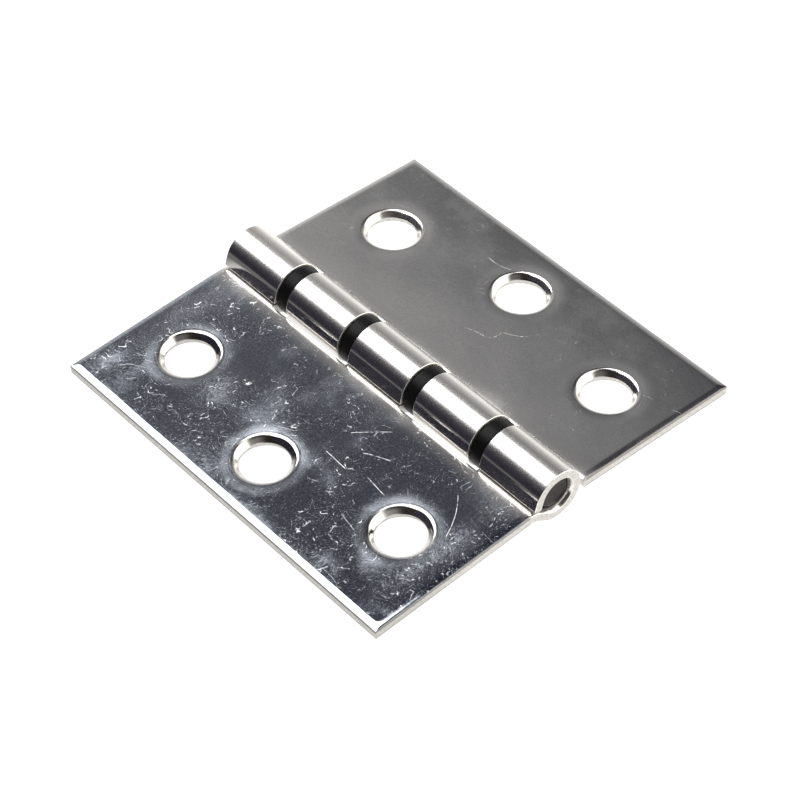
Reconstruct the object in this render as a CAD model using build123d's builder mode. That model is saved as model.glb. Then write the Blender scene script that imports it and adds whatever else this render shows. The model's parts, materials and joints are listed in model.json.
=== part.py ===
"""Five-knuckle butt hinge of steel sheet, with plastic washers between its knuckles.

The hinge lies open, a little past flat, with its barrel up. +Y runs along the pin, +X towards
the right leaf and +Z up. The origin is under the middle of the pin, at the barrel's lowest line.
"""
import os
from math import asin, cos, degrees, isclose, radians, sin

from build123d import *

# Leaves, in millimetres and degrees
hinge_length = 80.0         # along the pin
leaf_width = 40.0           # from the pin's axis to the outer edge
sheet = 2.0                 # thickness of the steel
axis_height = 0.25          # of the pin's axis above the leaf's countersunk face
droop = 2.5                 # of each leaf below flat, as the open hinge lies

# Barrel
pin_diameter = 6.0
knuckle_count = 5
washer_space = 3.0          # between two neighbouring knuckles
tight_fit = 0.01            # radial, of the left leaf's knuckles on the pin
running_fit = 0.05          # radial, of the right leaf's knuckles on the pin
pin_recess = 1.0            # of the pin's ends inside the end knuckles
pin_chamfer = 0.45

# Rolled knuckle: the sheet bends down, runs under the pin and over it, and ends in a straight tail
neck_slope = 36.0           # of the sheet between the leaf and the barrel
neck_radius = 2.5           # inside the bend at the leaf's back face
tail_lean = 20.0            # of the tail from upright
tail_gap = 0.15             # between the tail's corner and the leaf
slot_gap = 0.3              # between a leaf's slot and the swing of the other leaf's tails
slot_corner = 0.5

# Washers
washer_step = 0.35          # radial, of a washer's rim below the knuckles
washer_bore_gap = 0.1       # radial, around the pin
washer_play = 0.05          # at each face of a washer
washer_edge = 0.3

# Screw holes
screw_pitch = 55.0          # between the two end holes, along the pin
end_hole_offset = 23.5      # from the pin's axis
middle_hole_offset = 29.5
hole_diameter = 8.8
countersink_diameter = 10.8
countersink_angle = 90.0
lip_radius = 0.6            # rounding of the countersink's rim

# Sheared edges, drawn down at the countersunk face
roll_width = 1.6
roll_depth = 0.25

# Sizes that follow
knuckle_length = (hinge_length - (knuckle_count - 1) * washer_space) / knuckle_count
knuckle_pitch = knuckle_length + washer_space
pin_radius = pin_diameter / 2
pin_height = pin_radius + running_fit + sheet
leaf_top = -axis_height
leaf_back = leaf_top - sheet
roll_radius = (roll_width**2 + roll_depth**2) / (2 * roll_depth)
roll_angle = degrees(asin(roll_width / roll_radius))
wrap_end = 270 + neck_slope     # where the neck meets the barrel, as an angle about the pin
wrap_size = wrap_end - tail_lean
spare = sheet                   # by which a cutter passes what it cuts


def knuckle_middle(number):
    """How far along the pin the middle of a knuckle lies, counted from the far end."""
    return (hinge_length - knuckle_length) / 2 - number * knuckle_pitch


def polar(radius, angle):
    """A point of the section at this radius and angle about the pin."""
    return Vector(radius * cos(radians(angle)), radius * sin(radians(angle)))


def tail_length(outer_radius):
    """The straight tail's length, so that its outer corner stops just above the leaf."""
    return (outer_radius * sin(radians(tail_lean)) - leaf_top - tail_gap) / cos(radians(tail_lean))


def tail_corner(outer_radius, radius):
    """The end of the tail on its outer or its inner side."""
    return polar(radius, tail_lean) + polar(tail_length(outer_radius), tail_lean - 90)


def neck_centre(outer_radius):
    """Centre of the bend between leaf and neck, whose back meets the barrel's tangent."""
    depth = neck_radius - leaf_back
    reach = (outer_radius + neck_radius - cos(radians(neck_slope)) * depth) / sin(radians(neck_slope))
    return Vector(reach, -depth)


# Each slot clears the circle in which the other leaf's tails swing
widest_knuckle = pin_height
tail_swing = tail_corner(widest_knuckle, widest_knuckle).length
slot_edge = tail_swing + slot_gap
slot_length = knuckle_length + 2 * washer_space


def make_leaf(side, clearance, other_knuckles):
    """One leaf with its knuckles; side is -1 for the left leaf and 1 for the right one."""
    bore = pin_radius + clearance
    barrel = bore + sheet
    neck = neck_centre(barrel)
    outward = Vector(side * cos(radians(droop)), 0, -sin(radians(droop)))
    upward = Vector(side * sin(radians(droop)), 0, cos(radians(droop)))
    axis_point = Vector(0, 0, pin_height)
    section_plane = Plane(axis_point, x_dir=outward, z_dir=outward.cross(upward))
    plan_plane = Plane(axis_point, x_dir=outward, z_dir=upward)
    face_plane = plan_plane.offset(leaf_top)

    with BuildPart() as leaf:
        # Section of the sheet, from the outer edge through the neck and round the pin
        with BuildSketch(section_plane):
            with BuildLine():
                rolled_edge = CenterArc(
                    (leaf_width - roll_width, leaf_top - roll_radius), roll_radius, 90, -roll_angle
                )
                face_bend = CenterArc(neck, neck_radius + sheet, 90, neck_slope)
                bore_wrap = CenterArc((0, 0), bore, tail_lean, wrap_size)
                barrel_wrap = CenterArc((0, 0), barrel, tail_lean, wrap_size)
                back_bend = CenterArc(neck, neck_radius, 90, neck_slope)
                Line(rolled_edge @ 0, face_bend @ 0)
                Line(face_bend @ 1, bore_wrap @ 1)
                Polyline(
                    bore_wrap @ 0,
                    tail_corner(barrel, bore),
                    tail_corner(barrel, barrel),
                    barrel_wrap @ 0,
                )
                Line(barrel_wrap @ 1, back_bend @ 1)
                Polyline(back_bend @ 0, (leaf_width, leaf_back), rolled_edge @ 1)
            make_face()
        extrude(amount=hinge_length / 2, both=True)

        # Slots for the other leaf's knuckles and the washers beside them
        slot_depth = slot_edge + barrel + spare
        with BuildSketch(plan_plane):
            with Locations(*[(slot_edge - slot_depth / 2, knuckle_middle(n)) for n in other_knuckles]):
                RectangleRounded(slot_depth, slot_length, slot_corner)
        extrude(amount=leaf_width, both=True, mode=Mode.SUBTRACT)

        # Countersunk screw holes, the middle one set further out
        hole_places = [
            (end_hole_offset, screw_pitch / 2),
            (end_hole_offset, -screw_pitch / 2),
            (middle_hole_offset, 0),
        ]
        with Locations(face_plane):
            with Locations(*hole_places):
                CounterSinkHole(
                    radius=hole_diameter / 2,
                    counter_sink_radius=countersink_diameter / 2,
                    depth=2 * sheet,
                    counter_sink_angle=countersink_angle,
                )
        circles = leaf.edges().filter_by(GeomType.CIRCLE)
        rims = circles.filter_by(lambda rim: isclose(rim.radius, countersink_diameter / 2))
        fillet(rims, radius=lip_radius)

        # Rolled edges across both ends, from the outer edge to where the neck meets the barrel
        for end in (-1, 1):
            end_plane = section_plane.offset(end * hinge_length / 2)
            with BuildLine(end_plane) as neck_line:
                bend = CenterArc(neck, neck_radius + sheet, 90, neck_slope)
                Line((leaf_width + spare, leaf_top), bend @ 0)
                Line(bend @ 1, polar(bore, wrap_end))
            start = end_plane.from_local_coords((leaf_width + spare, leaf_top, 0))
            with BuildSketch(Plane(start, x_dir=section_plane.z_dir, z_dir=-outward)) as edge_cut:
                with BuildLine():
                    arc = CenterArc((-end * roll_width, -roll_radius), roll_radius, 90, -end * roll_angle)
                    Polyline(
                        arc @ 1,
                        (end * spare, -roll_depth),
                        (end * spare, roll_depth),
                        (-end * roll_width, roll_depth),
                        arc @ 0,
                    )
                make_face()
            sweep(sections=edge_cut.sketch, path=neck_line.line, mode=Mode.SUBTRACT)
    return leaf


left_leaf = make_leaf(-1, tight_fit, other_knuckles=range(1, knuckle_count, 2))
left_leaf.part.label = "left_leaf"

right_leaf = make_leaf(1, running_fit, other_knuckles=range(0, knuckle_count, 2))
right_leaf.part.label = "right_leaf"

# Plain pin, a little shorter than the barrel
with BuildPart() as hinge_pin:
    with BuildSketch(Plane.XZ):
        with Locations((0, pin_height)):
            Circle(pin_radius)
    extrude(amount=hinge_length / 2 - pin_recess, both=True)
    chamfer(hinge_pin.edges().filter_by(GeomType.CIRCLE), length=pin_chamfer)
hinge_pin.part.label = "hinge_pin"


def make_washer(number):
    """The washer that follows a knuckle, counted from the far end."""
    middle = knuckle_middle(number) - knuckle_pitch / 2
    with BuildPart() as washer:
        with BuildSketch(Plane.XZ.offset(-middle)):
            with Locations((0, pin_height)):
                Circle(pin_height - washer_step)
                Circle(pin_radius + washer_bore_gap, mode=Mode.SUBTRACT)
        extrude(amount=washer_space / 2 - washer_play, both=True)
        rim = washer.faces().filter_by(GeomType.CYLINDER).sort_by(SortBy.AREA)[-1]
        chamfer(rim.edges().filter_by(GeomType.CIRCLE), length=washer_edge)
    washer.part.label = f"washer_{number + 1}"
    return washer


washers = [make_washer(number) for number in range(knuckle_count - 1)]

os.makedirs("parts", exist_ok=True)
for piece in (left_leaf, right_leaf, hinge_pin, *washers):
    export_step(piece.part, f"parts/{piece.part.label}.step")
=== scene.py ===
"""Looks of a five-knuckle butt hinge: polished steel leaves, a dark pin with painted shade and black washers.

Shapes are worked out in millimetres, as arrays, and become metres where a mesh is made.
The hinge lies open with its barrel up: +Y runs along the pin and +X towards the right leaf.
"""
import json
from math import asin, cos, pi, radians, sin, tan

import bpy
import numpy as np
from mathutils import Euler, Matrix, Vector


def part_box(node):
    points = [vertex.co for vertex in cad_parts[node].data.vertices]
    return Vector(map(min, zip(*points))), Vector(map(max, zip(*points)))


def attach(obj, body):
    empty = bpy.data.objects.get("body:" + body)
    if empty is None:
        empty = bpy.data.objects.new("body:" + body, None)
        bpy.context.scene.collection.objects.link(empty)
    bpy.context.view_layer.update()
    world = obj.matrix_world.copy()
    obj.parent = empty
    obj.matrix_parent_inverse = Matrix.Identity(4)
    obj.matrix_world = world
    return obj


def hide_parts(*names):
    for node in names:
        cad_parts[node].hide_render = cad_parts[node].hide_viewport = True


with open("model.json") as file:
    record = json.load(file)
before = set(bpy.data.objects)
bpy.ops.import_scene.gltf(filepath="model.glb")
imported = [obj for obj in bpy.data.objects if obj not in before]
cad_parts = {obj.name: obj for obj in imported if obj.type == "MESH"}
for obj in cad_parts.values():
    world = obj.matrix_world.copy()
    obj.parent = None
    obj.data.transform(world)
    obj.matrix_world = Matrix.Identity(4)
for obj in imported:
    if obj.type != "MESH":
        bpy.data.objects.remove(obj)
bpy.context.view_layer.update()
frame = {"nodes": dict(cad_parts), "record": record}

MILLIMETRE = 0.001


def node_box(node):
    """Lowest and highest corner of a solid, in millimetres."""
    low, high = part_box(node)
    return np.array(low) / MILLIMETRE, np.array(high) / MILLIMETRE


# Sizes read from the frame
pin_low, pin_high = node_box("hinge_pin")
leaf_low, leaf_high = node_box("left_leaf")
washer_boxes = {name: node_box(name) for name in frame["nodes"] if name.startswith("washer")}
mounts = {mount["name"]: mount for mount in frame["record"]["mounts"]}
pin_radius = (pin_high[2] - pin_low[2]) / 2
pin_height = (pin_high[2] + pin_low[2]) / 2
hinge_length = leaf_high[1] - leaf_low[1]
droop = asin(mounts["right_end_screws"]["axis"][0])
hole_radius = mounts["right_end_screws"]["dims"]["hole_r_mm"]
screw_pitch = mounts["right_end_screws"]["dims"]["spacing_y_mm"]

# Sizes of the sheet and the barrel
leaf_width = 40.0
sheet = 2.0
leaf_top = -0.25
leaf_back = leaf_top - sheet
tight_fit = 0.01
running_fit = 0.05
neck_slope = radians(36)
neck_radius = 2.5
tail_lean = radians(20)
tail_gap = 0.15
slot_edge = 5.75
knuckle_length = 13.6
knuckle_pitch = 16.6
knuckle_count = 5

# Sizes of the finish
countersink_radius = 5.4
lip_radius = 1.0            # rounding of the countersinks' rims
breakout = 0.3              # by which the holes widen at the back, where the punch broke through
dish_radius = 8.0           # how far the face is drawn down around a hole
dish_depth = 0.04
roll_width = 1.5            # of the sheared edges, drawn down at the countersunk face
roll_depth = 0.25
roll_power = 2.4            # how much steeper a roll gets towards its edge
bore_flare = 0.45           # of the barrel's mouth at the hinge's ends
left_root = (4.5, 0.09)     # width and depth of the sheet's first gentle bend along the barrel
right_root = (1.4, 0.2)
edge_round = 0.15
face_round = 0.6 * edge_round
corner_blend = 0.35         # over which the rolls of two edges pass into each other at a corner
wave_height = 0.006         # of the sheet's slight waves
land_step = 0.03            # between the rows where a countersink's polish ends
pin_chamfer = 0.45
pin_hollow = 0.06           # depth of the slight hollow in each end of the pin
washer_bore = pin_radius + 0.1
washer_edge = 0.35

# Fineness of the meshes
border = 2.4                # strip of closer rows along the edges
row_step = 0.8              # between rows along the pin
tail_step = 0.4
plate_rows = 42
wrap_rows = 120
neck_rows = 7
bend_rows = 13
turns = 96                  # points round the pin and the washers
sharp_angle = radians(35)   # past which the edge between two faces is shaded as a sharp one

# Slight waves of the sheet: share of the height, turn per millimetre of s and of y, and shift by side
WAVES = [(1.0, 0.31, 0.17, 1), (1.0, -0.12, 0.23, 2), (0.5, 0.55, -0.41, 0)]


class Section:
    """A leaf's section across the pin: flat, bent down, a straight neck, a wrap over the pin, a tail.

    s is the length along the countersunk face. It equals the distance from the pin's axis where the leaf is
    flat, and falls towards the tail. h is the height above that face, so the back lies at h = -sheet.
    """

    def __init__(self, clearance):
        self.bore = pin_radius + clearance
        barrel = self.bore + sheet
        depth = neck_radius - leaf_back
        self.neck = np.array([(barrel + neck_radius - cos(neck_slope) * depth) / sin(neck_slope), -depth])
        self.bend_radius = neck_radius + sheet
        self.bend_start = self.neck[0]
        self.neck_start = self.bend_start - self.bend_radius * neck_slope
        self.bend_end = self.neck + self.bend_radius * np.array([-sin(neck_slope), cos(neck_slope)])
        wrap_point = self.bore * np.array([sin(neck_slope), -cos(neck_slope)])
        self.wrap_start = self.neck_start - np.linalg.norm(self.bend_end - wrap_point)
        self.wrap_angle = 1.5 * pi + neck_slope
        self.tail_start = self.wrap_start - self.bore * (self.wrap_angle - tail_lean)
        tail = (barrel * sin(tail_lean) - leaf_top - tail_gap) / cos(tail_lean)
        self.tail_end = self.tail_start - tail

    def place(self, s, h):
        """Distance from the pin's axis along and across the leaf, for points at s and h.

        The face keeps s where it is flat. It follows a circle about the neck's centre in the bend, falls
        evenly along the neck, follows the bore's circle about the pin in the wrap, and runs straight on in
        the tail. The point lies h away from there, along the face's normal.
        """
        bend = np.clip((self.bend_start - s) / self.bend_radius, 0, neck_slope)
        neck = np.clip(self.neck_start - s, 0, self.neck_start - self.wrap_start)
        wrap = np.clip(self.wrap_angle - (self.wrap_start - s) / self.bore, tail_lean, self.wrap_angle)
        tail = np.clip(self.tail_start - s, 0, None)
        flat = s >= self.bend_start
        bent = s >= self.wrap_start
        along = np.where(
            flat, s,
            np.where(bent, self.neck[0] - self.bend_radius * np.sin(bend) - neck * cos(neck_slope),
                     self.bore * np.cos(wrap) + tail * sin(tail_lean)))
        across = np.where(
            flat, leaf_top,
            np.where(bent, self.neck[1] + self.bend_radius * np.cos(bend) - neck * sin(neck_slope),
                     self.bore * np.sin(wrap) - tail * cos(tail_lean)))
        normal_along = np.where(bent, -np.sin(bend), -np.cos(wrap))
        normal_across = np.where(bent, np.cos(bend), -np.sin(wrap))
        return along + h * normal_along, across + h * normal_across


def smooth_step(low, high, value):
    """A soft step from 0 at low to 1 at high: t t (3 - 2 t), with t the share of the way between them."""
    t = np.clip((value - low) / (high - low), 0, 1)
    return t * t * (3 - 2 * t)


def rolled(distance, width, depth):
    """Drop of a sheared edge: the depth times a power of 1 - distance / width, steepest at the edge."""
    inside = np.clip(1 - distance / width, 0, 1)
    return depth * inside**roll_power


def rounded(distance, radius):
    """Drop of a rounded edge: a quarter circle that ends upright at the edge."""
    inside = np.clip(radius - distance, 0, radius)
    return radius - np.sqrt(radius**2 - inside**2)


def fine_ends(low, high, step, low_offsets, high_offsets):
    """Values from low to high, close together by the given offsets at both ends and a step apart between."""
    first = low + np.array(low_offsets)
    last = high - np.array(high_offsets)[::-1]
    count = max(int(round((last[0] - first[-1]) / step)), 1)
    return np.concatenate([first, np.linspace(first[-1], last[0], count + 1)[1:-1], last])


# Rows of points beside an edge, by their distance from it: rounded corners, rolled edges and slots
CORNER_OFFSETS = [0, 0.005, 0.02, 0.045, 0.08, 0.12, edge_round]
ROUND_OFFSETS = [*CORNER_OFFSETS, 0.25, 0.45, 0.8]
ROLL_OFFSETS = [*CORNER_OFFSETS, 0.3, 0.45, 0.6, 0.75, 0.9, 1.05, 1.2, 1.35, roll_width, border]
SLOT_OFFSETS = [*CORNER_OFFSETS, 0.3, 0.5, 0.75, 1.0, 1.3, 1.7, 2.2, 2.8, 3.4]


def knuckle_ends(number):
    """Where a knuckle, counted from the far end, starts and stops along the pin."""
    middle = hinge_length / 2 - knuckle_length / 2 - number * knuckle_pitch
    return middle - knuckle_length / 2, middle + knuckle_length / 2


def grid_quads(index):
    """Four-cornered faces of a grid of vertex numbers."""
    return np.stack([index[:-1, :-1], index[1:, :-1], index[1:, 1:], index[:-1, 1:]], axis=-1).reshape(-1, 4)


def turned_up(quads, points):
    """The same faces, each one wound anticlockwise in the plane of s and y."""
    corner = points[quads]
    first = corner[:, 2] - corner[:, 0]
    second = corner[:, 3] - corner[:, 1]
    down = first[:, 0] * second[:, 1] - first[:, 1] * second[:, 0] < 0
    quads = quads.copy()
    quads[down] = quads[down][:, ::-1]
    return quads


def hole_patch(centre, s_lines, y_lines):
    """Rings of points from a hole's rim out to the rectangle of the given lines, for face and back.

    Each ring's points lie on straight rays from the hole's centre. Rings are round out to the dish's radius,
    and then pass evenly into the rectangle.
    """
    sides = [
        np.stack([np.full(len(y_lines), s_lines[0]), y_lines], axis=-1)[:-1],
        np.stack([s_lines, np.full(len(s_lines), y_lines[-1])], axis=-1)[:-1],
        np.stack([np.full(len(y_lines), s_lines[-1]), y_lines[::-1]], axis=-1)[:-1],
        np.stack([s_lines[::-1], np.full(len(s_lines), y_lines[0])], axis=-1)[:-1],
    ]
    outside = np.concatenate(sides)
    ray = outside - centre
    ray = ray / np.linalg.norm(ray, axis=1, keepdims=True)
    rim = countersink_radius + lip_radius * tan(pi / 8)
    growth = np.array([0, 0.03, 0.07, 0.13, 0.2, 0.29, 0.4, 0.53, 0.68, 0.84, 1])
    face = [centre + ray * (rim + share * (dish_radius - rim)) for share in growth]
    low = hole_radius + breakout
    back = [centre + ray * (low + share * (dish_radius - low)) for share in growth]
    for share in (0.08, 0.2, 0.36, 0.54, 0.76, 1):
        between = face[len(growth) - 1] * (1 - share) + outside * share
        face.append(between)
        back.append(between)
    return np.array(face), np.array(back)


class Leaf:
    """One leaf's mesh: a flat pattern of s and y, raised to the face and the back, with walls between."""

    def __init__(self, side, clearance, knuckles, root):
        self.side = side
        self.root_width, self.root_depth = root
        self.section = Section(clearance)
        self.fingers = [knuckle_ends(n) for n in knuckles]
        self.slots = [knuckle_ends(n) for n in range(knuckle_count) if n not in knuckles]
        washer_space = knuckle_pitch - knuckle_length
        self.slots = [(low - washer_space, high + washer_space) for low, high in self.slots]
        self.holes = np.array(self.hole_places())
        self.flat_pattern()
        self.raise_sheet()

    def hole_places(self):
        """The holes' centres as s and y, from the record's mounts."""
        name = "right" if self.side > 0 else "left"
        places = []
        for mount, y in ((f"{name}_end_screws", screw_pitch / 2), (f"{name}_middle_screw", 0.0),
                         (f"{name}_end_screws", -screw_pitch / 2)):
            x, _, z = np.array(mounts[mount]["pos_m"]) / MILLIMETRE
            places.append((self.side * x * cos(droop) - (z - pin_height) * sin(droop), y))
        return places

    def flat_pattern(self):
        """Vertices and faces of the pattern: strips along the edges, rings round the holes, knuckles."""
        end = hinge_length / 2
        inner = end - border
        stops = sorted({y for span in self.fingers + self.slots for y in span if abs(y) < end - border})
        stops = [-inner, *stops, inner]
        y_parts = []
        for low, high in zip(stops, stops[1:]):
            low_fine = [0] if low == -inner else ROUND_OFFSETS
            high_fine = [0] if high == inner else ROUND_OFFSETS
            y_parts.append(fine_ends(low, high, row_step, low_fine, high_fine)[:-1])
        middle_lines = np.concatenate([*y_parts, [inner]])
        band_edge = screw_pitch / 4
        middle_lines = np.unique(np.concatenate([middle_lines, [-band_edge, band_edge]]).round(6))
        end_lines = end - np.array(ROLL_OFFSETS)[::-1]
        slot_lines = slot_edge + np.array(SLOT_OFFSETS)
        outer_lines = leaf_width - np.array(ROLL_OFFSETS)[::-1]
        plate_lines = np.linspace(slot_lines[-1], outer_lines[0], plate_rows)
        all_lines = np.concatenate([-end_lines[::-1][:-1], middle_lines, end_lines[1:]])

        patches = []
        for s_lines in (slot_lines, outer_lines):
            patches.append(np.stack(np.meshgrid(s_lines, all_lines, indexing="ij"), axis=-1))
        for y_lines in (-end_lines[::-1], end_lines):
            patches.append(np.stack(np.meshgrid(plate_lines, y_lines, indexing="ij"), axis=-1))
        for low, high in self.fingers:
            own = all_lines[(all_lines > low - 1e-6) & (all_lines < high + 1e-6)]
            patches.append(np.stack(np.meshgrid(self.finger_lines(), own, indexing="ij"), axis=-1))
        faces = [np.concatenate([patch, patch], axis=-1) for patch in patches]

        bands = [(band_edge, inner), (-band_edge, band_edge), (-inner, -band_edge)]
        rings = []
        for centre, (low, high) in zip(self.holes, bands):
            own = middle_lines[(middle_lines > low - 1e-6) & (middle_lines < high + 1e-6)]
            face, back = hole_patch(centre, plate_lines, own)
            closed = np.concatenate([face, back], axis=-1)
            faces.append(np.concatenate([closed, closed[:, :1]], axis=1))
            rings.append(len(faces) - 1)

        every = np.concatenate([patch.reshape(-1, 4) for patch in faces])
        _, first, number = np.unique(every.round(5), axis=0, return_index=True, return_inverse=True)
        number = number.reshape(-1)
        self.pattern = every[first]
        starts = np.cumsum([0] + [patch.shape[0] * patch.shape[1] for patch in faces])
        grids = [number[a:b].reshape(patch.shape[:2]) for a, b, patch in zip(starts, starts[1:], faces)]
        quads = np.concatenate([grid_quads(grid) for grid in grids])
        self.quads = turned_up(quads, self.pattern[:, :2])
        self.hole_rings = [grids[i][0, :-1] for i in rings]

    def finger_lines(self):
        """Lengths s at which a knuckle has a row of points, closest in its bends and at its tail's end."""
        part = self.section
        tail = fine_ends(part.tail_end, part.tail_start, tail_step, ROUND_OFFSETS, [0])
        wrap = np.linspace(part.tail_start, part.wrap_start, wrap_rows)
        neck = np.linspace(part.wrap_start, part.neck_start, neck_rows)
        bend = np.linspace(part.neck_start, slot_edge, bend_rows)
        return np.concatenate([tail, wrap[1:], neck[1:], bend[1:]])

    def edge_distance(self, s, y):
        """Distances to the outer edge or ends, to the nearest slot and to the tail's end."""
        outside = np.minimum(leaf_width - s, hinge_length / 2 - np.abs(y))
        slot = np.full(s.shape, np.inf)
        for low, high in self.slots:
            across = np.maximum(np.maximum(low - y, y - high), 0)
            slot = np.minimum(slot, np.hypot(np.maximum(s - slot_edge, 0), across))
        return outside, slot, s - self.section.tail_end

    def face_height(self, s, y):
        """Height of the countersunk face: a sum of sine waves, less a dish round each hole and rolled edges.

        Edges that run to the outside have a wide roll. Along the barrel the sheet starts to bend down, at the
        knuckles' roots and at the slots alike.
        """
        outside, slot, tail = self.edge_distance(s, y)
        flat = smooth_step(slot_edge, slot_edge + 6, s)
        waves = sum(size * np.sin(by_s * s + by_y * y + shift * self.side)
                    for size, by_s, by_y, shift in WAVES)
        height = wave_height * flat * waves
        for centre in self.holes:
            reach = np.hypot(s - centre[0], y - centre[1])
            height = height - dish_depth * (1 - smooth_step(countersink_radius, dish_radius, reach)) ** 2
        on_leaf = smooth_step(self.section.wrap_start, slot_edge, s)
        blunt = -corner_blend * np.logaddexp(
            (s - leaf_width) / corner_blend, (np.abs(y) - hinge_length / 2) / corner_blend)
        height = height - rolled(blunt, roll_width, bore_flare + (roll_depth - bore_flare) * on_leaf)
        root_drop = rolled(np.maximum(s - slot_edge, 0), self.root_width, self.root_depth)
        height = height - root_drop * on_leaf
        return height - rounded(np.minimum(np.minimum(outside, slot), tail), face_round)

    def back_height(self, s, y):
        """Height of the back and of the barrel's outside, with all edges slightly rounded."""
        outside, slot, tail = self.edge_distance(s, y)
        return -sheet + rounded(np.minimum(np.minimum(outside, slot), tail), edge_round)

    def in_place(self, s, y, h):
        """Points of the frame: the section turned by the droop, and mirrored for the left leaf."""
        along, across = self.section.place(s, h)
        x = self.side * (along * cos(droop) + across * sin(droop))
        z = pin_height - along * sin(droop) + across * cos(droop)
        return np.stack([x, y, z], axis=-1)

    def raise_sheet(self):
        """The closed mesh: the pattern at face and back heights, with walls at its edges and holes."""
        face_s, face_y, back_s, back_y = self.pattern.T
        count = len(self.pattern)
        face_h = self.face_height(face_s, face_y)
        back_h = self.back_height(back_s, back_y)
        points = [self.in_place(face_s, face_y, face_h), self.in_place(back_s, back_y, back_h)]
        sheet_map = [np.stack([face_s, face_y], axis=-1), np.stack([back_s, back_y], axis=-1)]
        depth = [face_h, back_h]
        corner = [np.full(count, 0.9), np.full(count, 0.6)]
        quads = [self.quads, self.quads[:, ::-1] + count]
        kinds = [np.zeros(len(self.quads), int), np.zeros(len(self.quads), int)]
        total = 2 * count

        # Walls stand on the edges that belong to one face only
        edges = np.concatenate([self.quads[:, [i, (i + 1) % 4]] for i in range(4)])
        key = np.sort(edges, axis=1)
        _, back_to, uses = np.unique(key, axis=0, return_inverse=True, return_counts=True)
        rim = edges[uses[back_to.reshape(-1)] == 1]
        in_hole = np.zeros(count, bool)
        in_hole[np.concatenate(self.hole_rings)] = True
        rim = rim[~in_hole[rim[:, 0]]]
        around, local = np.unique(rim, return_inverse=True)
        local = local.reshape(-1, 2)
        rows = [around]
        for share in (0.2, 0.4, 0.6, 0.8):
            s, y = face_s[around], face_y[around]
            h = face_h[around] * (1 - share) + back_h[around] * share
            points.append(self.in_place(s, y, h))
            sheet_map.append(np.stack([s, y], axis=-1))
            depth.append(h)
            corner.append(np.zeros(len(around)))
            rows.append(total + np.arange(len(around)))
            total += len(around)
        rows.append(around + count)
        for upper, lower in zip(rows, rows[1:]):
            a, b = local[:, 0], local[:, 1]
            wall = np.stack([upper[b], upper[a], lower[a], lower[b]], axis=-1)
            quads.append(wall)
            kinds.append(np.ones(len(wall), int))

        # Countersinks: a rounded lip, a cone and an upright land
        for centre, ring in zip(self.holes, self.hole_rings):
            ray = self.pattern[ring][:, :2] - centre
            start = face_h[ring].mean()
            ray = ray / np.linalg.norm(ray, axis=1, keepdims=True)
            rows = [ring]
            row_kinds = []
            for radius, h, kind in self.countersink(start):
                place = centre + ray * radius
                points.append(self.in_place(place[:, 0], place[:, 1], np.full(len(ring), h)))
                sheet_map.append(place)
                depth.append(np.full(len(ring), h))
                corner.append(np.zeros(len(ring)))
                rows.append(total + np.arange(len(ring)))
                row_kinds.append(kind)
                total += len(ring)
            rows.append(ring + count)
            row_kinds.append(1)
            for upper, lower, kind in zip(rows, rows[1:], row_kinds):
                wall = np.stack([upper, np.roll(upper, -1), np.roll(lower, -1), lower], axis=-1)
                outward = np.cross(ray[0], ray[1]) > 0
                quads.append(wall if outward else wall[:, ::-1])
                kinds.append(np.full(len(wall), kind))

        self.points = np.concatenate(points)
        self.sheet_map = np.concatenate(sheet_map)
        self.depth = np.concatenate(depth)
        self.corner = np.concatenate(corner)
        self.faces = np.concatenate(quads)
        self.kinds = np.concatenate(kinds)
        if self.side < 0:
            self.faces = self.faces[:, ::-1]

    def countersink(self, start):
        """Radius, height and kind of each ring down a hole; kind 0 is polished face and 1 is cut steel.

        The lip is an eighth of a circle. The cone goes on from it at 45 degrees, and the land below widens
        with the square of its depth.
        """
        turn = np.linspace(0, pi / 4, 7)[1:]
        lip_out = countersink_radius + lip_radius * tan(pi / 8)
        rings = [(lip_out - lip_radius * sin(a), start - lip_radius * (1 - cos(a)), 0) for a in turn]
        low_radius, low_height, _ = rings[-1]
        land = low_height - (low_radius - hole_radius)
        for share in (0.25, 0.5, 0.75, 0.97):
            radius = low_radius + share * (hole_radius - low_radius)
            rings.append((radius, low_height + share * (land - low_height), 0))
        rings.append((hole_radius, land - land_step, 0))
        rings.append((hole_radius, land - 2 * land_step, 1))
        for share in (0.3, 0.65):
            rings.append((hole_radius + share**2 * breakout, land + share * (-sheet - land), 1))
        return rings


def mesh_object(name, points, faces, body, node, materials, kinds=None, values=None):
    """A smooth object at the origin from arrays, which rides a body and stands for a solid."""
    mesh = bpy.data.meshes.new(name)
    corners = np.concatenate([block.reshape(-1) for block in faces])
    sizes = np.concatenate([np.full(len(block), block.shape[1]) for block in faces])
    mesh.vertices.add(len(points))
    mesh.vertices.foreach_set("co", (points * MILLIMETRE).astype(np.float32).reshape(-1))
    mesh.loops.add(len(corners))
    mesh.loops.foreach_set("vertex_index", corners.astype(np.int32))
    mesh.polygons.add(len(sizes))
    mesh.polygons.foreach_set("loop_start", (np.cumsum(sizes) - sizes).astype(np.int32))
    if kinds is not None:
        mesh.polygons.foreach_set("material_index", kinds.astype(np.int32))
    for key, value in (values or {}).items():
        mesh.attributes.new(key, "FLOAT", "POINT").data.foreach_set("value", value.astype(np.float32))
    mesh.update(calc_edges=True)
    mesh.validate()
    mesh.shade_smooth()
    mesh.set_sharp_from_angle(angle=sharp_angle)
    piece = bpy.data.objects.new(name, mesh)
    bpy.context.scene.collection.objects.link(piece)
    for material in materials:
        mesh.materials.append(material)
    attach(piece, body)
    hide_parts(node)
    return piece


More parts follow.
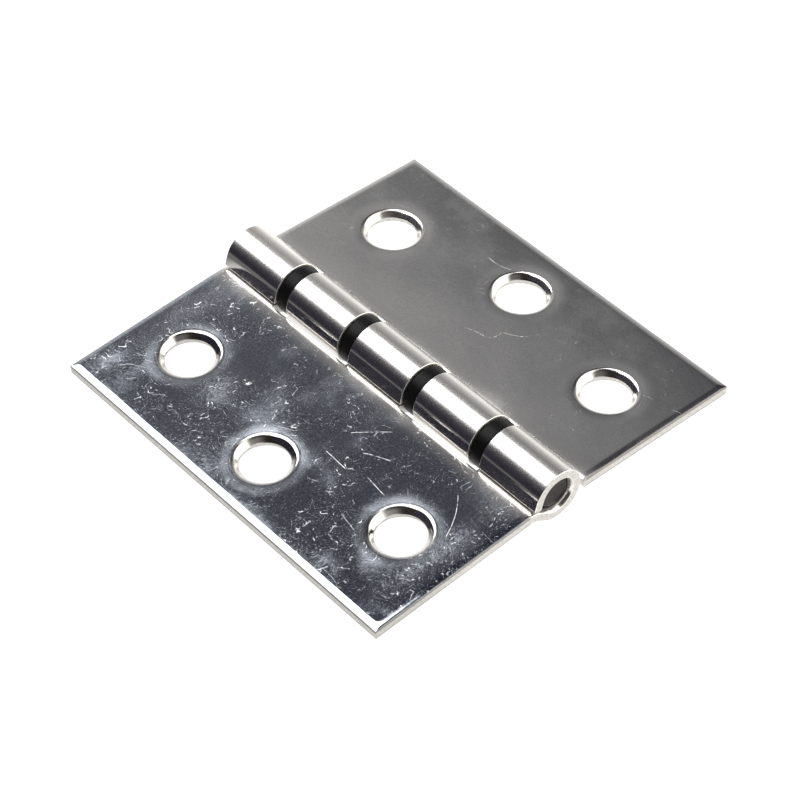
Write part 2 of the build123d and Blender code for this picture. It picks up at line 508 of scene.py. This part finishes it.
def revolved(profile, closed):
    """Points and faces of a profile of radius and y, turned about the pin's axis.

    A point lies the radius times the angle's cosine to the right of the axis, and times its sine above it.
    A closed profile joins its end to its start. An open one starts and ends on the axis, where a single point
    with a fan of triangles closes each end.
    """
    profile = np.array(profile)
    angle = np.arange(turns) * 2 * pi / turns
    ring = profile if closed else profile[1:-1]
    radius, y = ring[:, :1], ring[:, 1:]
    x = radius * np.cos(angle)
    z = pin_height + radius * np.sin(angle)
    points = np.stack([x, np.broadcast_to(y, x.shape), z], axis=-1).reshape(-1, 3)
    index = np.arange(len(points)).reshape(x.shape)
    index = np.concatenate([index, index[:, :1]], axis=1)
    if closed:
        return points, [grid_quads(np.concatenate([index, index[:1]], axis=0))]
    tips = np.array([[0, profile[0, 1], pin_height], [0, profile[-1, 1], pin_height]])
    start, stop = len(points), len(points) + 1
    first = np.stack([np.full(turns, start), index[0, :-1], index[0, 1:]], axis=-1)
    last = np.stack([index[-1, :-1], np.full(turns, stop), index[-1, 1:]], axis=-1)
    return np.concatenate([points, tips]), [grid_quads(index), first, last]


def pin_profile():
    """Half outline of the pin from its near end: slightly hollow ends, rounded edges, a straight side."""
    end = pin_high[1]
    flat = pin_radius - pin_chamfer
    turn = np.linspace(0, pi / 2, 9)
    corner = [(flat + pin_chamfer * sin(a), end - pin_chamfer * (1 - cos(a))) for a in turn]
    middle = [(r * flat, end - pin_hollow * (1 - r**2) ** 2) for r in (0, 0.15, 0.3, 0.45, 0.6, 0.75, 0.9)]
    half = middle + corner
    return [(r, -y) for r, y in half] + half[::-1]


def washer_profile(low, high):
    """Closed outline of a washer's section: straight faces and bore, and a rim with rounded edges."""
    rim = (high[0] - low[0]) / 2
    turn = np.linspace(0, pi / 2, 7)
    upper = [(rim - washer_edge * (1 - cos(a)), high[1] - washer_edge * (1 - sin(a))) for a in turn]
    lower = [(rim - washer_edge * (1 - cos(a)), low[1] + washer_edge * (1 - sin(a))) for a in turn]
    rim_line = [(rim, y) for y in np.linspace(low[1] + washer_edge, high[1] - washer_edge, 6)[1:-1]]
    bore_line = [(washer_bore, high[1]), (washer_bore, (low[1] + high[1]) / 2), (washer_bore, low[1])]
    return lower[::-1] + rim_line + upper + bore_line


# Materials
class Nodes:
    """A node tree, with short calls that add a node and link its inputs."""

    def __init__(self, name=None, tree=None):
        self.tree = tree
        if tree is None:
            self.material = bpy.data.materials.new(name)
            self.material.use_nodes = True
            self.tree = self.material.node_tree
        self.tree.nodes.clear()

    def add(self, kind, settings=None, **inputs):
        """A node of this kind; inputs are values or other nodes' outputs, by name or as i0, i1, i2."""
        node = self.tree.nodes.new(kind)
        for key, value in (settings or {}).items():
            setattr(node, key, value)
        for key, value in inputs.items():
            by_number = key[0] == "i" and key[1:].isdigit()
            socket = node.inputs[int(key[1:])] if by_number else node.inputs[key.replace("_", " ")]
            if isinstance(value, bpy.types.NodeSocket):
                self.tree.links.new(value, socket)
            else:
                socket.default_value = value
        return node

    def math(self, operation, first, second=0.0):
        """Result of an operation on two values."""
        return self.add("ShaderNodeMath", {"operation": operation}, i0=first, i1=second).outputs[0]

    def product(self, first, *others):
        """All these values multiplied."""
        for other in others:
            first = self.math("MULTIPLY", first, other)
        return first

    def sum(self, first, *others):
        """All these values added."""
        for other in others:
            first = self.math("ADD", first, other)
        return first

    def most(self, first, *others):
        """The largest of these values."""
        for other in others:
            first = self.math("MAXIMUM", first, other)
        return first

    def vector(self, operation, first, second=(0, 0, 0), third=(0, 0, 0)):
        """Result of an operation on up to three vectors."""
        node = self.add("ShaderNodeVectorMath", {"operation": operation}, i0=first, i1=second, i2=third)
        return node.outputs["Value" if operation == "LENGTH" else "Vector"]

    def range(self, value, low, high, to_low=0.0, to_high=1.0):
        """A value taken from one range to another, smoothly and within its limits."""
        node = self.add("ShaderNodeMapRange", {"interpolation_type": "SMOOTHSTEP"}, Value=value, From_Min=low,
                        From_Max=high, To_Min=to_low, To_Max=to_high)
        return node.outputs["Result"]

    def ramp(self, value, stops):
        """A brightness by straight lines between stops of value and brightness."""
        node = self.add("ShaderNodeValToRGB", Fac=value)
        marks = node.color_ramp.elements
        while len(marks) < len(stops):
            marks.new(0.5)
        for mark, (position, brightness) in zip(marks, stops):
            mark.position = position
            mark.color = (brightness, brightness, brightness, 1)
        return node.outputs["Color"]

    def mix(self, share, first, second):
        """A colour between two colours."""
        node = self.add("ShaderNodeMix", {"data_type": "RGBA"}, i0=share, i6=first, i7=second)
        return node.outputs[2]

    def place(self, scale=(1, 1, 1), move=(0, 0, 0)):
        """Object coordinates, scaled and moved."""
        source = self.add("ShaderNodeTexCoord").outputs["Object"]
        return self.add("ShaderNodeMapping", Vector=source, Scale=scale, Location=move).outputs[0]

    def noise(self, vector, scale, detail=3.0, roughness=0.5):
        """Cloudy values about a half."""
        node = self.add("ShaderNodeTexNoise", Vector=vector, Scale=scale, Detail=detail, Roughness=roughness)
        return node.outputs["Fac"]

    def attribute(self, name):
        """A value kept on the mesh's vertices."""
        return self.add("ShaderNodeAttribute", {"attribute_name": name}).outputs["Fac"]

    def finish(self, bump=None, bump_strength=0.2, bump_distance=0.0001, **inputs):
        """The material's one shader, with bump from a height where it is given."""
        shader = self.add("ShaderNodeBsdfPrincipled", **inputs)
        if bump is not None:
            normal = self.add("ShaderNodeBump", Strength=bump_strength, Distance=bump_distance, Height=bump)
            self.tree.links.new(normal.outputs[0], shader.inputs["Normal"])
        output = self.add("ShaderNodeOutputMaterial")
        self.tree.links.new(shader.outputs[0], output.inputs["Surface"])
        return self.material


# Short scratches: which way the seed moves their pattern, its cells' size and half a scratch's length in
# metres, and the share of the cells that have one
SHORT_SCRATCHES = [
    ((0, 1), 0.0030, 0.0014, 0.5),
    ((-1, 0), 0.0070, 0.0032, 0.6),
    ((0, -1), 0.0180, 0.0085, 0.5),
]
SHORT_HALF_WIDTH = 0.00003
LONG_HALF_WIDTHS = (0.00003, 0.00007)       # at full strength, and where it has faded


def short_scratches(nodes, place, cell, half_length, share):
    """Short scratches: in some cells of a random pattern, a thin line through the cell's point.

    Each line has its own angle. The coordinates are bent a little first, so that it isn't quite straight.
    """
    wobble = nodes.add("ShaderNodeTexNoise", Vector=place, Scale=0.8 / cell, Detail=3.0).outputs["Color"]
    bent = nodes.vector("MULTIPLY_ADD", wobble, (0.6 * cell, 0.6 * cell, 0.0), place)
    cells = nodes.add("ShaderNodeTexVoronoi", {"voronoi_dimensions": "2D"}, Vector=bent, Scale=1 / cell)
    offset = nodes.vector("SUBTRACT", bent, cells.outputs["Position"])
    chance = nodes.add("ShaderNodeSeparateColor", Color=cells.outputs["Color"]).outputs
    turned = nodes.add("ShaderNodeVectorRotate", {"rotation_type": "Z_AXIS"}, Vector=offset,
                       Angle=nodes.math("MULTIPLY", chance[0], 2 * pi)).outputs[0]
    across, along, _ = nodes.add("ShaderNodeSeparateXYZ", Vector=turned).outputs
    thin = nodes.range(nodes.math("ABSOLUTE", across), 0.3 * SHORT_HALF_WIDTH, SHORT_HALF_WIDTH, 1.0, 0.0)
    ends = nodes.range(nodes.math("ABSOLUTE", along), 0.3 * half_length, half_length, 1.0, 0.0)
    chosen = nodes.range(chance[1], 1 - share, 1.01 - share)
    strength = nodes.math("POWER", chance[2], 1.5)
    return nodes.product(thin, ends, chosen, strength)


def curled_scratches(nodes, place, scale):
    """Hair-thin curls: where a cloudy value passes a half, kept only where another one is high."""
    off = nodes.math("ABSOLUTE", nodes.math("SUBTRACT", nodes.noise(place, scale, 1.0), 0.5))
    kept = nodes.range(nodes.noise(place, 1.3 * scale, 2.0), 0.54, 0.62)
    return nodes.product(nodes.range(off, 0.004, 0.022, 1.0, 0.0), kept)


def long_scratch(nodes, start, end, bow):
    """A long thin scratch between two places of x and y in millimetres, bowed sideways as a parabola.

    At the share t of its length it lies 4 t (1 - t) times the bow off the straight line.
    """
    start, end = np.array(start), np.array(end)
    length = float(np.linalg.norm(end - start)) * MILLIMETRE
    angle = float(np.arctan2(end[1] - start[1], end[0] - start[0]))
    source = nodes.add("ShaderNodeTexCoord").outputs["Object"]
    from_start = nodes.vector("SUBTRACT", source, (start[0] * MILLIMETRE, start[1] * MILLIMETRE, 0.0))
    turned = nodes.add("ShaderNodeVectorRotate", {"rotation_type": "Z_AXIS"}, Vector=from_start, Angle=-angle)
    along, across, _ = nodes.add("ShaderNodeSeparateXYZ", Vector=turned.outputs[0]).outputs
    share = nodes.math("DIVIDE", along, length)
    hump = nodes.product(share, nodes.math("SUBTRACT", 1.0, share), 4 * bow * MILLIMETRE)
    off = nodes.math("ABSOLUTE", nodes.math("SUBTRACT", across, hump))
    thin = nodes.range(off, *LONG_HALF_WIDTHS, 1.0, 0.0)
    return nodes.product(thin, nodes.range(share, 0.0, 0.1), nodes.range(share, 0.9, 1.0, 1.0, 0.0))


BARREL_TINT = (0.82, 0.80, 0.77, 1)
MARK_TINT = (0.95, 0.95, 0.94, 1)
CORNER_TINT = (0.16, 0.14, 0.12, 1)


def polished_steel(name, tint, haze_tint, marked, rough_low, rough_high, seed, long_scratches):
    """Polished sheet: a mirror with dulled patches, specks and scratches, and a finely grained barrel.

    Dulled places and scratches scatter light, so they are less of a metal's mirror there. marked is how much
    the sheet shows them, from 0 to 1, and seed moves their patterns.
    """
    nodes = Nodes(name)
    place = nodes.place(move=(seed, seed, 0))
    barrel = nodes.attribute("barrel")
    leaf = nodes.math("SUBTRACT", 1.0, barrel)
    bore = nodes.attribute("bore")
    low = nodes.product(nodes.attribute("low"), barrel)
    clouds = nodes.noise(place, 90, 5.0, 0.6)
    grain = nodes.noise(place, 1800, 5.0, 0.75)
    fine = nodes.noise(place, 5000, 2.0, 0.6)
    ripples = nodes.noise(place, 650, 2.0)

    # Scratches and specks, in loose crowds
    crowds = nodes.range(nodes.noise(nodes.place(move=(2 * seed, 0, 0)), 110, 3.0), 0.4, 0.62, 0.25, 1.0)
    broken = nodes.range(nodes.noise(place, 1300, 2.0), 0.35, 0.6, 0.25, 1.0)
    marks = nodes.most(
        nodes.range(nodes.noise(nodes.place(move=(-seed, seed, 0)), 5200, 3.0, 0.6), 0.62, 0.76, 0.0, marked),
        nodes.product(curled_scratches(nodes, nodes.place(move=(seed, -seed, 0)), 480), marked))
    for (move_x, move_y), cell, half_length, share in SHORT_SCRATCHES:
        moved = nodes.place(move=(move_x * seed, move_y * seed, 0))
        marks = nodes.most(marks, short_scratches(nodes, moved, cell, half_length, share * marked))
    marks = nodes.product(marks, crowds, broken)
    for start, end, bow in long_scratches:
        marks = nodes.most(marks, nodes.product(long_scratch(nodes, start, end, bow), broken))
    marks = nodes.product(marks, leaf, nodes.math("SUBTRACT", 1.0, nodes.attribute("sink")))

    # Dulled patches
    haze = nodes.most(nodes.attribute("haze"), nodes.range(clouds, 0.47, 0.72, 0.0, 0.45 * marked))
    haze = nodes.product(haze, leaf, nodes.range(grain, 0.35, 0.65, 1 - 0.6 * marked, 1 + 0.2 * marked))
    haze = nodes.most(haze, nodes.attribute("ring"))

    speckle = nodes.range(nodes.noise(place, 3200, 3.0, 0.8), 0.3, 0.7)
    dark_tint = (*[(1 - 0.35 * marked) * part for part in tint], 1)
    light_tint = (*[(1 + 0.25 * marked) * part for part in tint], 1)
    colour = nodes.mix(haze, nodes.mix(speckle, dark_tint, light_tint), haze_tint)
    colour = nodes.mix(nodes.most(nodes.attribute("bend"), nodes.attribute("sink")), colour, BARREL_TINT)
    colour = nodes.mix(marks, colour, MARK_TINT)
    edge = nodes.attribute("edge")
    colour = nodes.mix(nodes.product(edge, 0.8), colour, CORNER_TINT)
    scatter = nodes.sum(nodes.product(haze, 0.03), nodes.product(marks, 0.2), nodes.product(bore, 0.1))
    rough = nodes.sum(
        nodes.product(leaf, nodes.range(clouds, 0.42, 0.72, rough_low, rough_high)),
        nodes.product(barrel, nodes.range(fine, 0.3, 0.7, 0.24, 0.28)),
        nodes.product(low, low, -0.13),
        nodes.product(haze, 0.12),
        nodes.product(marks, 0.35),
        nodes.product(edge, 0.3),
        nodes.product(nodes.attribute("bend"), leaf, 0.1),
        nodes.product(nodes.attribute("sink"), 0.06),
        nodes.product(bore, 0.05))
    height = nodes.sum(
        nodes.product(fine, nodes.range(low, 0.0, 1.0, 0.08, 0.01)),
        nodes.product(ripples, leaf, 0.4),
        nodes.product(marks, -0.5))
    return nodes.finish(bump=height, bump_strength=1.0, bump_distance=0.00001, Base_Color=colour,
                        Metallic=nodes.math("SUBTRACT", 1.0, scatter), Roughness=rough)


def cut_steel():
    """Sheared and drilled edges: dull speckled steel with fine streaks across the sheet and dark corners."""
    nodes = Nodes("cut_steel")
    streaks = nodes.noise(nodes.place(scale=(1, 1, 0.7)), 2600, 4.0, 0.7)
    dark, light = (0.50, 0.475, 0.445, 1), (0.80, 0.78, 0.74, 1)
    colour = nodes.mix(nodes.range(streaks, 0.3, 0.7), dark, light)
    colour = nodes.mix(nodes.attribute("corner"), colour, CORNER_TINT)
    rough = nodes.range(streaks, 0.3, 0.7, 0.42, 0.6)
    return nodes.finish(bump=streaks, bump_strength=0.15, bump_distance=0.00008, Base_Color=colour,
                        Metallic=1.0, Roughness=rough)


def pin_steel():
    """Dull dark steel of the pin's sheared ends, darkened further as painted shade of the recess they sit in.
    """
    nodes = Nodes("pin_steel")
    cloud = nodes.noise(nodes.place(), 1200, 4.0, 0.6)
    # painted shade: these colours are darker than the pin's steel, for the shade in the barrel's mouth where
    # its ends sit
    dark, light = (0.025, 0.023, 0.022, 1), (0.07, 0.065, 0.063, 1)
    colour = nodes.mix(nodes.range(cloud, 0.3, 0.7), dark, light)
    rough = nodes.range(cloud, 0.3, 0.7, 0.4, 0.6)
    return nodes.finish(bump=cloud, bump_strength=0.3, bump_distance=0.0001, Base_Color=colour, Metallic=1.0,
                        Roughness=rough)


def black_plastic():
    """Moulded black plastic with a faint grain."""
    nodes = Nodes("black_plastic")
    grain = nodes.noise(nodes.place(), 2500, 3.0, 0.6)
    dark, light = (0.002, 0.002, 0.002, 1), (0.005, 0.005, 0.005, 1)
    colour = nodes.mix(nodes.range(grain, 0.3, 0.7), dark, light)
    rough = nodes.range(grain, 0.3, 0.7, 0.36, 0.46)
    return nodes.finish(bump=grain, bump_strength=0.15, bump_distance=0.00005, Base_Color=colour,
                        Roughness=rough, Specular_IOR_Level=0.16)


# Studio
def away_from_dark(nodes, x, y, length):
    """1 towards the room's bright sides, falling softly to 0 towards its dark left side."""
    dark_side = radians(155)
    towards = nodes.math("ADD", nodes.product(x, cos(dark_side)), nodes.product(y, sin(dark_side)))
    return nodes.range(nodes.math("DIVIDE", towards, length), -0.1, 0.55, 1.0, 0.0)


# Brightness of the pale walls by the height angle, as a share of a right angle
WALL_LIGHT = [(0.0, 0.95), (0.15, 0.66), (0.26, 0.48), (0.36, 0.37),
              (0.50, 0.21), (0.56, 0.20), (0.62, 0.12), (0.69, 0.02)]
# The same of the upper walls by their slant, x over z
SLANT_LIGHT = [(0.45, 0.22), (0.51, 0.27), (0.58, 0.52), (0.70, 1.0),
               (0.79, 0.76), (0.84, 0.56), (0.88, 0.24), (0.95, 0.12)]
WALL_TINT = (1.25, 1.24, 1.22, 1)
BRIGHT_TINT = (2.2, 2.15, 2.05, 1)          # at the near right
NEAR_DARK_TINT = (0.020, 0.016, 0.012, 1)
FAR_DARK_TINT = (0.022, 0.020, 0.030, 1)
WHITE = (1.0, 1.0, 1.0, 1)


def make_world():
    """Surroundings by direction: pale walls, darker with height, bright at the near right, dark at the left.

    The camera itself sees white.
    """
    world = bpy.data.worlds.new("studio")
    bpy.context.scene.world = world
    world.use_nodes = True
    nodes = Nodes(tree=world.node_tree)
    direction = nodes.add("ShaderNodeTexCoord").outputs["Generated"]
    x, y, z = nodes.add("ShaderNodeSeparateXYZ", Vector=direction).outputs
    length = nodes.math("SQRT", nodes.math("SUBTRACT", 1.0001, nodes.product(z, z)))
    flat_x, flat_y = nodes.product(x, x, 0.12), nodes.product(y, y)
    away = nodes.math("SQRT", nodes.math("ADD", flat_x, flat_y))
    wall = nodes.ramp(nodes.product(nodes.math("ARCTAN2", z, away), 2 / pi), WALL_LIGHT)
    high = nodes.range(z, 0.55, 0.64)
    slant = nodes.product(nodes.ramp(nodes.math("DIVIDE", x, nodes.most(z, 0.1)), SLANT_LIGHT), 1.8)
    upper = nodes.math("ADD", nodes.product(high, slant), nodes.math("SUBTRACT", 1.0, high))
    glow = nodes.product(wall, upper, away_from_dark(nodes, x, y, length))
    near_right = nodes.product(
        nodes.range(y, -0.25, 0.02, 1.0, 0.0), nodes.range(x, 0.1, 0.4), nodes.range(z, -0.05, 0.05))
    dark = nodes.mix(nodes.range(y, -0.3, 0.1), NEAR_DARK_TINT, FAR_DARK_TINT)
    colour = nodes.mix(glow, dark, WALL_TINT)
    colour = nodes.mix(near_right, colour, BRIGHT_TINT)
    camera = nodes.add("ShaderNodeLightPath").outputs["Is Camera Ray"]
    shown = nodes.mix(camera, colour, WHITE)
    background = nodes.add("ShaderNodeBackground", Color=shown, Strength=1.0)
    output = nodes.add("ShaderNodeOutputWorld")
    nodes.tree.links.new(background.outputs[0], output.inputs["Surface"])


def make_softbox():
    """A wide soft light overhead, mostly to the left and beyond the hinge, with its sides along the pin."""
    height = 1.0
    right, left = 0.325, -0.62
    near, far = 0.03, 1.6
    brightness = 3.4
    light = bpy.data.lights.new("softbox", "AREA")
    light.shape = "RECTANGLE"
    light.size = right - left
    light.size_y = far - near
    light.energy = brightness * pi * light.size * light.size_y
    lamp = bpy.data.objects.new("softbox", light)
    lamp.location = ((right + left) / 2, (near + far) / 2, height)
    bpy.context.scene.collection.objects.link(lamp)


def make_floor():
    """A pale floor that glows near white; mirrored, it is bright by the hinge and dark far to the left."""
    half = 2.0
    seen = 0.85                     # brightness for the camera
    dark, bright = 0.015, 1.1       # in reflections, to the left and elsewhere
    by_hinge = 0.9                  # in reflections, by the hinge
    fade_start, fade_end = 0.045, 0.053
    mesh = bpy.data.meshes.new("floor")
    corners = np.array([[-half, -half, 0], [half, -half, 0], [half, half, 0], [-half, half, 0]])
    mesh.from_pydata(corners.tolist(), [], [(0, 1, 2, 3)])
    floor = bpy.data.objects.new("floor", mesh)
    bpy.context.scene.collection.objects.link(floor)
    nodes = Nodes("floor")
    place = nodes.add("ShaderNodeTexCoord").outputs["Object"]
    x, y, _ = nodes.add("ShaderNodeSeparateXYZ", Vector=place).outputs
    length = nodes.math("ADD", nodes.vector("LENGTH", place), 0.001)
    side = nodes.range(away_from_dark(nodes, x, y, length), 0.0, 1.0, dark, bright)
    reach = nodes.most(nodes.math("ABSOLUTE", x), nodes.math("ABSOLUTE", y))
    beside = nodes.range(reach, fade_start, fade_end, by_hinge, 0.0)
    mirrored = nodes.math("MAXIMUM", side, beside)
    camera = nodes.add("ShaderNodeLightPath").outputs["Is Camera Ray"]
    glow = nodes.math("ADD", nodes.product(camera, seen),
                      nodes.product(nodes.math("SUBTRACT", 1.0, camera), mirrored))
    paint = nodes.mix(camera, (0.1, 0.1, 0.1, 1), (0.5, 0.5, 0.5, 1))
    mesh.materials.append(
        nodes.finish(Base_Color=paint, Roughness=0.9, Emission_Color=WHITE, Emission_Strength=glow))


def make_camera():
    """The photograph's view, for a square image."""
    azimuth = radians(-40.675)
    elevation = radians(46.177)
    roll = radians(-1.331)
    camera_data = bpy.data.cameras.new("camera")
    camera_data.sensor_width = 36.0
    camera_data.lens = 123.2
    camera_data.clip_start = 0.01
    camera = bpy.data.objects.new("camera", camera_data)
    camera.location = Vector((-213.79, -249.54, 339.25)) * MILLIMETRE
    back = Vector((sin(azimuth) * cos(elevation), -cos(azimuth) * cos(elevation), sin(elevation)))
    turn = (-back).to_track_quat("-Z", "Y") @ Euler((0, 0, roll)).to_quaternion()
    camera.rotation_euler = turn.to_euler()
    bpy.context.scene.collection.objects.link(camera)
    bpy.context.scene.camera = camera


# Degrees up the barrel's left side, between which its low part ends
LOW_SIDE = (24.0, 54.0)


def finish_shares(leaf, hazes, ring):
    """Shares at each point: barrel, its low left side and bore, bends, countersinks, haze, rings and edges.

    A ring of the given share lies round each hole. Haze fades as a bell curve from each patch of s and y.
    """
    s, y = leaf.sheet_map.T
    part = leaf.section
    reach = np.min([np.hypot(s - hole_s, y - hole_y) for hole_s, hole_y in leaf.holes], axis=0)
    rim = countersink_radius + 0.5 * lip_radius
    ring = ring * smooth_step(rim, rim + 0.4, reach)
    ring = ring * (1 - smooth_step(dish_radius - 1, dish_radius + 1, reach))
    haze = np.zeros_like(s)
    for share, (patch_s, patch_y), (half_s, half_y) in hazes:
        bell = np.exp(-((s - patch_s) / half_s) ** 2 - ((y - patch_y) / half_y) ** 2)
        haze = np.maximum(haze, share * bell)
    inside = (s < part.wrap_start) & (leaf.depth > -0.5 * sheet)
    past_edge = np.maximum(s - leaf_width, np.abs(y) - hinge_length / 2)
    beyond_slot = smooth_step(slot_edge, slot_edge + 1.0, s)
    height = leaf.points[:, 2] - pin_height
    slope = np.degrees(np.arctan2(height, -leaf.points[:, 0]))
    return {
        "barrel": 1 - smooth_step(part.wrap_start - 1.0, part.neck_start, s),
        "low": 1 - smooth_step(*LOW_SIDE, slope),
        "bore": inside * smooth_step(part.wrap_start, part.wrap_start - 1.0, s),
        "bend": 1 - smooth_step(slot_edge + 0.5, slot_edge + 4.0, s),
        "sink": 1 - smooth_step(countersink_radius - 0.1, rim + 0.5, reach),
        "haze": haze,
        "ring": ring,
        "corner": leaf.corner * beyond_slot,
        "edge": smooth_step(-0.3, -0.05, past_edge) * beyond_slot,
    }


def make_leaf(name, leaf, body, steel, hazes, ring):
    """A leaf's object, with polished and cut surfaces."""
    return mesh_object(name, leaf.points, [leaf.faces], body, name.replace("_sheet", ""),
                       [steel, cut], leaf.kinds, finish_shares(leaf, hazes, ring))


# Dulled patches: share, place as s and y, and half sizes
LEFT_HAZES = [
    (1.2, (24.5, 18.0), (4.5, 3.5)),
    (0.7, (36.5, 6.0), (3.0, 7.0)),
    (0.9, (35.0, 36.5), (4.0, 2.5)),
    (0.95, (16.0, 36.0), (14.0, 3.5)),
    (1.0, (9.5, -33.5), (3.5, 5.0)),
    (0.6, (40.0, 2.0), (3.0, 32.0)),
    (1.1, (22.0, -34.5), (14.0, 2.8)),
]
RIGHT_HAZES = [
    (1.0, (7.5, -16.0), (2.5, 6.0)),
]

# Share of dulling in a ring round each hole
LEFT_RING = 0.75
RIGHT_RING = 0.45

# Long scratches: both ends as x and y, and the bow
LEFT_SCRATCHES = [
    ((-10.9, -27.5), (-19.6, -33.7), 0.7),
    ((-19.7, -14.4), (-20.4, -20.1), 0.0),
    ((-20.9, -5.6), (-21.2, -11.5), 0.0),
    ((-15.8, -5.3), (-9.9, -10.8), 0.1),
    ((-17.0, -10.3), (-14.6, -15.4), 0.2),
]
RIGHT_SCRATCHES = [
    ((15.6, 0.1), (16.9, -4.6), 0.3),
    ((16.9, -4.6), (19.9, -5.2), -0.4),
    ((19.9, -5.2), (22.7, -9.3), -0.3),
    ((31.5, 11.1), (32.3, 5.4), -0.5),
]

cut = cut_steel()
# painted reflection: the left leaf's tint and haze tint are darker and bluer than the right leaf's, for the
# dark bluish surroundings it mirrors
left_steel = polished_steel(
    "left_steel", tint=(0.64, 0.69, 0.77), haze_tint=(0.66, 0.70, 0.76, 1), marked=1.0,
    rough_low=0.03, rough_high=0.12, seed=0.31, long_scratches=LEFT_SCRATCHES)
right_steel = polished_steel(
    "right_steel", tint=(0.76, 0.755, 0.74), haze_tint=(0.78, 0.775, 0.76, 1), marked=0.3,
    rough_low=0.1, rough_high=0.17, seed=0.77, long_scratches=RIGHT_SCRATCHES)
left_leaf = Leaf(side=-1, clearance=tight_fit, knuckles=(0, 2, 4), root=left_root)
right_leaf = Leaf(side=1, clearance=running_fit, knuckles=(1, 3), root=right_root)
make_leaf("left_leaf_sheet", left_leaf, "fixed_leaf", left_steel, LEFT_HAZES, LEFT_RING)
make_leaf("right_leaf_sheet", right_leaf, "moving_leaf", right_steel, RIGHT_HAZES, RIGHT_RING)
pin_points, pin_faces = revolved(pin_profile(), closed=False)
mesh_object("turned_pin", pin_points, pin_faces, "fixed_leaf", "hinge_pin", [pin_steel()])
plastic = black_plastic()
for node, (low, high) in washer_boxes.items():
    ring_points, ring_faces = revolved(washer_profile(low, high), closed=True)
    mesh_object(f"{node}_ring", ring_points, ring_faces, "fixed_leaf", node, [plastic])

make_world()
make_softbox()
make_floor()
make_camera()
bpy.context.scene.view_settings.view_transform = "Standard"
